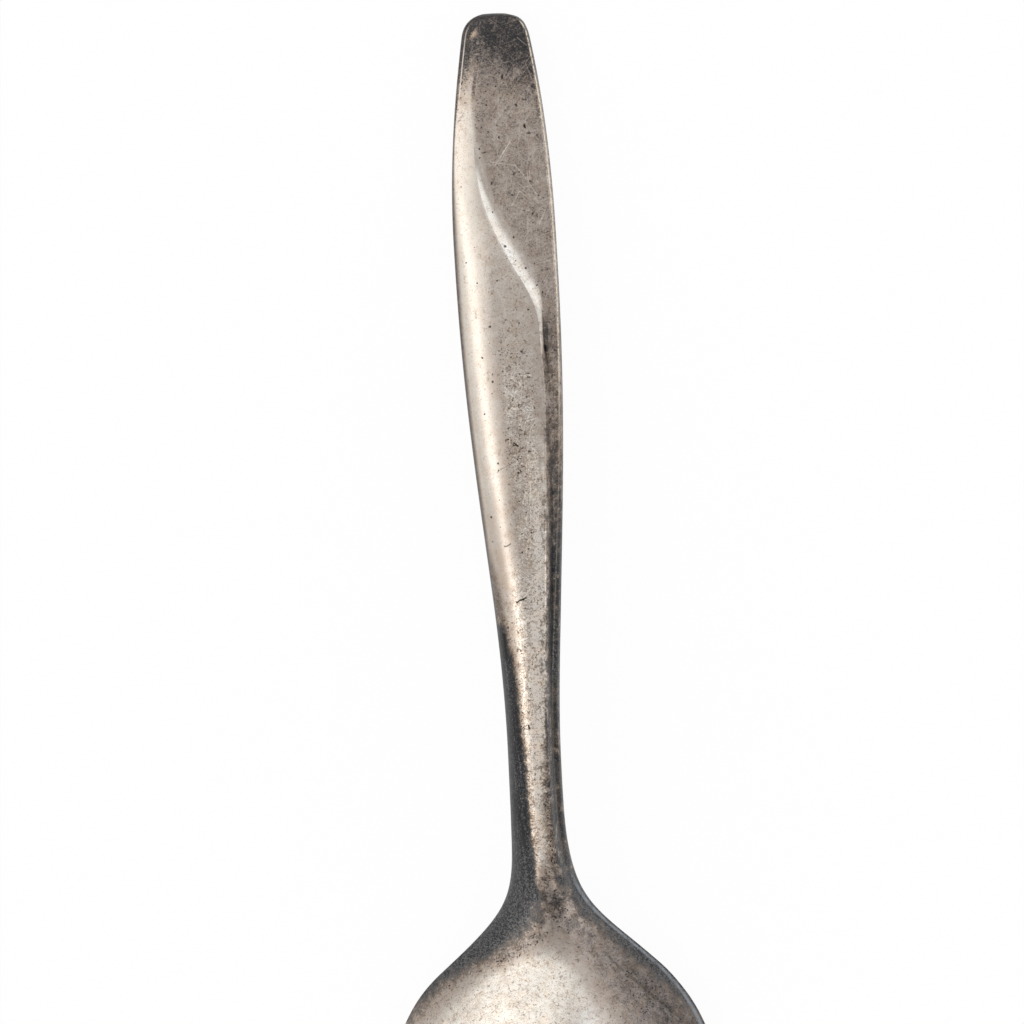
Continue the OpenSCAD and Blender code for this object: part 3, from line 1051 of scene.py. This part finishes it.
def marks(tree, place, lines):
    total = mark(tree, place, *lines[0])
    for stroke in lines[1:]:
        total = maths(tree, "MAXIMUM", total, mark(tree, place, *stroke))
    return total


# Fine scratches: angle of their run, fineness across and along, and offset of the pattern
HAIRLINES = ((35, 5.0, 0.35, 0.0), (-48, 5.5, 0.45, 7.3), (78, 4.5, 0.30, 15.1), (8, 6.0, 0.5, 22.8))
HAIR_W = 0.06
HAIR_BREAKS = 0.45
HAIR_KEPT = (0.02, 0.10)


def hairlines(tree, place):
    """Long fine scratches: lines of a stretched noise, cut up by another one."""
    total = None
    for angle, across, along, offset in HAIRLINES:
        turn = {"Vector": place, "Angle": math.radians(angle)}
        turned = add_node(tree, "ShaderNodeVectorRotate", turn, rotation_type="Z_AXIS").outputs[0]
        stretched = vector_maths(tree, "MULTIPLY", turned, (across, along, 1))
        moved = vector_maths(tree, "ADD", stretched, (offset, 0, 0))
        kept = smooth(tree, noise(tree, moved, HAIR_BREAKS, 1.0), *HAIR_KEPT)
        line = times(tree, thin_lines(tree, noise(tree, moved, 1.0, 0.0), HAIR_W), kept)
        total = line if total is None else maths(tree, "MAXIMUM", total, line)
    return total


# Pits: fineness of their scatter, chances between which they grow, largest radius, soft edge and depth
PIT_SCATTER = 2.1
PIT_CHANCE = (0.70, 1.05)
PIT_R = 0.16
PIT_EDGE = 0.06
PIT_DEPTH = 0.85


def pits(tree, place):
    """Small round pits, some cells of a scatter without one."""
    scatter = {"Vector": place, "Scale": PIT_SCATTER}
    cells = add_node(tree, "ShaderNodeTexVoronoi", scatter, voronoi_dimensions="2D")
    chance = add_node(tree, "ShaderNodeSeparateColor", {0: cells.outputs["Color"]}).outputs[0]
    size = smooth(tree, chance, *PIT_CHANCE, 0.0, PIT_R)
    inside = maths(tree, "SUBTRACT", size, cells.outputs["Distance"])
    return smooth(tree, inside, 0.0, PIT_EDGE, 0.0, PIT_DEPTH)


# Shake of the pits and of the dark marks: fineness and distance
SHAKE_FINENESS, SHAKE = 4.0, 0.16


def shaken(tree, place):
    """The place moved slightly by a noise, so that what is drawn there is uneven."""
    names = {"Vector": place, "Scale": SHAKE_FINENESS, "Detail": 1.0}
    drift = add_node(tree, "ShaderNodeTexNoise", names).outputs["Color"]
    about_zero = vector_maths(tree, "SUBTRACT", drift, (0.5, 0.5, 0.5))
    return vector_maths(tree, "ADD", place, scaled(tree, about_zero, SHAKE))


# Values on the meshes that the material reads
SURFACE_VALUES = ("film_and_shade", "dark", "ragged", "pale", "grit", "scratched", "warm", "wear_highlight", "polish_highlight", "gleam",
                  "marked", "pitted")
# Noises of the surface: fineness, detail and roughness
NOISES = {
    "broad": (0.6, 2.0, 0.55),
    "mottle": (2.2, 4.0, 0.6),
    "grain": (8.0, 3.0, 0.65),
    "speck": (14.0, 2.0, 0.7),
    "fleck": (7.0, 2.0, 0.6),
    "busy": (0.7, 2.0, 0.55),
    "brown": (1.6, 3.0, 0.6),
}
# Streaks along the spoon: the same, and how finely they lie each way
STREAK = (1.0, 3.0, 0.6)
STREAK_RUN = (5.0, 0.3, 5.0)
# Curved strokes: fineness, offset of the pattern and width
WORMS = (2.6, 0.0, 0.035)
FINE_CURLS = (4.6, 31.0, 0.09)
DARK_CURLS = (5.2, 17.0, 0.09)
# Strength of the first kind of strokes where nothing is scratched
WORMS_FULL = 1.2
# Stops between which a pattern sets in and, for some, the values that it goes between
FLECKS = (0.09, 0.19)
FLECKS_SCRATCHED = (0.0, 1.0, 1.0, 0.25)
BUSY = (-0.12, 0.12, 0.3, 1.0)
SPARKLE = (0.14, 0.34)
DARK_EDGE = (0.18, 0.86)
FRINGE_EDGE = (0.18, 0.42)
FRINGE_GRAIN = (-0.06, 0.14)
BROWN_PATCHES = (-0.12, 0.15, 0.0, 0.6)
SLATE_STREAKS = (-0.3, 0.3, -0.05, 0.65)
RUBBED_HIGHLIGHT_GRAIN = (-0.12, 0.06, 0.15, 1.0)
GLINT_MOTTLE = (-0.25, 0.15, 0.15, 0.55)
FRINGE_SHARE = 0.45
# Patterns that are added up, with their weights
BLOTCH = {"mottle": 0.8, "broad": 0.3}
TEXTURE = {"grain": 0.5, "speck": 0.8, "flecks": 0.36, "mottle": 0.3, "worms": 0.36, "along": 0.14}
FINE_LINES = {"hairs": -0.17, "light_curls": -0.17, "dark_curls": 0.12}
BRIGHT = {"scores": -0.36, "sparkle": -0.28}
TARNISH = {"mottle": 0.9, "grain": 0.9, "speck": 0.5, "streaks": 1.0}
BROWNING = {"warm": 0.55, "scratched": -0.15}
SLATE = {"grain": 1.7, "speck": 2.5, "mottle": 0.4, "hairs": 0.6, "fine_curls": 0.22, "pale": 0.33}
HEIGHT = {"worms": -0.4, "hairs": -0.3, "holes": -1.2, "cuts": -1.5, "scores": -0.6, "grain": 0.25}
# How far the texture may lighten the film: on clean silver, and what dark film adds
LIGHTEST, LIGHTEST_FILM = -0.035, -0.22
# Roughness of clean and of filmed silver, and what the tarnish adds
ROUGH_CLEAN, ROUGH_FILMED, ROUGH_DARK = 0.23, 0.42, 0.04
# Strength and depth of the bump
BUMP, BUMP_H = 0.25, 0.02


def surface_patterns(tree):
    """What the surface is made of, by name: the values on the mesh, noises, strokes and pits."""
    coords = add_node(tree, "ShaderNodeTexCoord").outputs["Object"]
    place = vector_maths(tree, "MULTIPLY", coords, (1 / MM, 1 / MM, 1 / MM))
    flat_place = vector_maths(tree, "MULTIPLY", place, (1, 1, 0))
    uneven_place = shaken(tree, flat_place)
    pattern = {name: attribute(tree, name) for name in SURFACE_VALUES}
    pattern.update({name: noise(tree, place, *kind) for name, kind in NOISES.items()})
    scratched = pattern["scratched"]
    pattern["along"] = noise(tree, vector_maths(tree, "MULTIPLY", place, STREAK_RUN), *STREAK)
    pattern["streaks"] = times(tree, pattern["along"], maths(tree, "SUBTRACT", 1.0, pattern["pale"]))
    flecks = smooth(tree, pattern["fleck"], *FLECKS)
    pattern["flecks"] = times(tree, flecks, smooth(tree, scratched, *FLECKS_SCRATCHED))
    worms = times(tree, curls(tree, place, *WORMS), smooth(tree, pattern["busy"], *BUSY))
    pattern["worms"] = times(tree, worms, maths(tree, "SUBTRACT", WORMS_FULL, scratched))
    pattern["fine_curls"] = curls(tree, place, *FINE_CURLS)
    pattern["light_curls"] = times(tree, pattern["fine_curls"], scratched)
    pattern["dark_curls"] = times(tree, curls(tree, place, *DARK_CURLS), scratched)
    pattern["hairs"] = times(tree, hairlines(tree, flat_place), scratched)
    pattern["holes"] = times(tree, pits(tree, uneven_place), pattern["pitted"])
    pattern["cuts"] = times(tree, marks(tree, uneven_place, DARK_MARKS), pattern["marked"])
    pattern["scores"] = times(tree, marks(tree, flat_place, LIGHT_MARKS), pattern["marked"])
    sparkle = smooth(tree, plus(tree, pattern["grain"], pattern["speck"]), *SPARKLE)
    pattern["sparkle"] = times(tree, sparkle, pattern["ragged"])
    return pattern


def weighed(pattern, weights):
    """Patterns with their weights, as plus() takes them."""
    return [(pattern[name], weight) for name, weight in weights.items()]


def silver_film_and_shade(tree, pattern):
    """Film and painted shade with their blotches and fine texture, from 0 to 1."""
    blotch = plus(tree, *weighed(pattern, BLOTCH))
    lightest = plus(tree, (maths(tree, "POWER", pattern["film_and_shade"], 2.0), LIGHTEST_FILM), LIGHTEST)
    texture = maths(tree, "MAXIMUM", plus(tree, *weighed(pattern, TEXTURE)), lightest)
    texture = plus(tree, texture, *weighed(pattern, FINE_LINES))
    film_and_shade = plus(tree, pattern["film_and_shade"], (blotch, pattern["ragged"]), (texture, pattern["grit"]),
                *weighed(pattern, BRIGHT))
    return maths(tree, "MULTIPLY", film_and_shade, 1.0, clamp=True)


def silver_colour(tree, pattern, film_and_shade, edge, dark):
    """Colour: film and painted shade in grey and brown, then fringe, tarnish, painted highlights and
    reflection, pits.
    """
    brownness = plus(tree, smooth(tree, pattern["brown"], *BROWN_PATCHES), *weighed(pattern, BROWNING))
    colour = blend(tree, brownness, ramp(tree, film_and_shade, SILVER_STOPS), ramp(tree, film_and_shade, BROWN_STOPS))
    fringe = times(tree, smooth(tree, edge, *FRINGE_EDGE), smooth(tree, pattern["grain"], *FRINGE_GRAIN))
    colour = blend(tree, times(tree, fringe, FRINGE_SHARE), colour, FRINGE)
    slate = plus(tree, smooth(tree, pattern["streaks"], *SLATE_STREAKS), *weighed(pattern, SLATE))
    colour = blend(tree, dark, colour, ramp(tree, slate, SLATE_STOPS))
    rubbed_highlight = times(tree, pattern["wear_highlight"], smooth(tree, pattern["grain"], *RUBBED_HIGHLIGHT_GRAIN))
    colour = blend(tree, rubbed_highlight, colour, GOLD_HIGHLIGHT)
    colour = blend(tree, pattern["polish_highlight"], colour, PALE)
    glint = times(tree, pattern["gleam"], smooth(tree, pattern["mottle"], *GLINT_MOTTLE))
    colour = blend(tree, glint, colour, COOL)
    return blend(tree, maths(tree, "MAXIMUM", pattern["holes"], pattern["cuts"]), colour, PIT)


def silver_material():
    material = bpy.data.materials.new("worn_silver")
    material.use_nodes = True
    tree = material.node_tree
    shader = tree.nodes["Principled BSDF"]
    pattern = surface_patterns(tree)
    film_and_shade = silver_film_and_shade(tree, pattern)
    edge = plus(tree, pattern["dark"], *weighed(pattern, TARNISH))
    dark = smooth(tree, edge, *DARK_EDGE)
    colour = silver_colour(tree, pattern, film_and_shade, edge, dark)
    roughness = plus(tree, smooth(tree, film_and_shade, 0.0, 1.0, ROUGH_CLEAN, ROUGH_FILMED), (dark, ROUGH_DARK))
    height = plus(tree, *weighed(pattern, HEIGHT))
    bump = add_node(tree, "ShaderNodeBump", {"Strength": BUMP, "Distance": BUMP_H * MM, "Height": height})
    shader.inputs["Metallic"].default_value = 1.0
    tree.links.new(colour, shader.inputs["Base Color"])
    tree.links.new(roughness, shader.inputs["Roughness"])
    tree.links.new(bump.outputs[0], shader.inputs["Normal"])
    return material


# Stage, light and camera

FLOOR_SIZE = 8.0
FLOOR_GAP = 0.00002
FLOOR_GLOW = 0.94
FLOOR_COLOUR = (0.94, 0.94, 0.94, 1)
FLOOR_ROUGH = 0.9
VIEW_W = 0.04952
VIEW_AT = (-0.000435, 0.005875, 0.0022)
VIEW_ROLL = math.radians(-3.4)
CAMERA_D = 1.5
SENSOR = 36.0
CLIP_NEAR, CLIP_FAR = 0.1, 20.0


def make_floor():
    bpy.ops.mesh.primitive_plane_add(size=FLOOR_SIZE, location=(0, 0, -FLOOR_GAP))
    floor = bpy.context.object
    floor.name = "floor"
    material = bpy.data.materials.new("white_floor")
    material.use_nodes = True
    tree = material.node_tree
    shader = tree.nodes["Principled BSDF"]
    shader.inputs["Base Color"].default_value = FLOOR_COLOUR
    shader.inputs["Roughness"].default_value = FLOOR_ROUGH
    shader.inputs["Specular IOR Level"].default_value = 0.0
    glow = add_node(tree, "ShaderNodeEmission", {"Color": (1, 1, 1, 1), "Strength": 1.0})
    path = add_node(tree, "ShaderNodeLightPath").outputs
    seen = maths(tree, "MAXIMUM", path["Is Camera Ray"], path["Is Glossy Ray"])
    seen = maths(tree, "MAXIMUM", seen, path["Is Transmission Ray"])
    share_lit = times(tree, seen, FLOOR_GLOW)
    both = add_node(tree, "ShaderNodeMixShader", {0: share_lit, 1: shader.outputs[0], 2: glow.outputs[0]})
    tree.links.new(both.outputs[0], tree.nodes["Material Output"].inputs["Surface"])
    floor.data.materials.append(material)


# Soft lights of the studio as lobes of the world: direction, inner and outer angle, colour and strength
WORLD_GREY = (0.60, 0.60, 0.61, 1)
LOBES = (
    ((-0.72, 0.05, 0.69), 1, 19, (1.0, 0.99, 0.97), 1.05),
    ((-0.77, 0.05, 0.64), 4, 54, (1.0, 0.98, 0.94), 0.6),
    ((-0.25, 0.76, 0.60), 12, 42, (1.0, 0.98, 0.94), 0.6),
    ((0.76, 0.34, 0.55), 8, 36, (0.93, 0.975, 1.03), 0.72),
    ((0.00, -0.85, 0.53), 10, 45, (1.0, 1.0, 1.0), 0.5),
)


def make_world():
    world = bpy.data.worlds.new("studio")
    bpy.context.scene.world = world
    world.use_nodes = True
    tree = world.node_tree
    direction = add_node(tree, "ShaderNodeTexCoord").outputs["Generated"]
    light = WORLD_GREY
    for towards, inner, outer, colour, strength in LOBES:
        length = math.sqrt(sum(v * v for v in towards))
        unit = tuple(v / length for v in towards)
        cosine = vector_maths(tree, "DOT_PRODUCT", direction, unit, "Value")
        low, high = math.cos(math.radians(outer)), math.cos(math.radians(inner))
        amount = smooth(tree, cosine, low, high, 0, strength)
        light = blend(tree, 1.0, light, scaled(tree, colour, amount), "ADD")
    background = tree.nodes["Background"]
    tree.links.new(light, background.inputs["Color"])


def make_camera():
    data = bpy.data.cameras.new("camera")
    data.sensor_width = SENSOR
    data.lens = SENSOR * CAMERA_D / VIEW_W
    data.clip_start, data.clip_end = CLIP_NEAR, CLIP_FAR
    camera = bpy.data.objects.new("camera", data)
    camera.location = (VIEW_AT[0], VIEW_AT[1], VIEW_AT[2] + CAMERA_D)
    camera.rotation_euler = (0, 0, VIEW_ROLL)
    bpy.context.scene.collection.objects.link(camera)
    bpy.context.scene.camera = camera


def make_spoon():
    grid, joint = spoon_grid()
    pieces = {
        "handle": (grid[:joint + 1], "silver"),
        "solder_seam": (grid[joint:joint + 2], "silver_solder"),
        "bowl": (grid[joint + 1:], "silver"),
    }
    material = silver_material()
    for node, (sections, slot) in pieces.items():
        piece = solid("silver_" + node, sections)
        piece.data.materials.append(material)
        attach(piece, "root")
        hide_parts(node)


make_camera()
make_floor()
make_world()
make_spoon()
bpy.context.scene.view_settings.view_transform = "Standard"
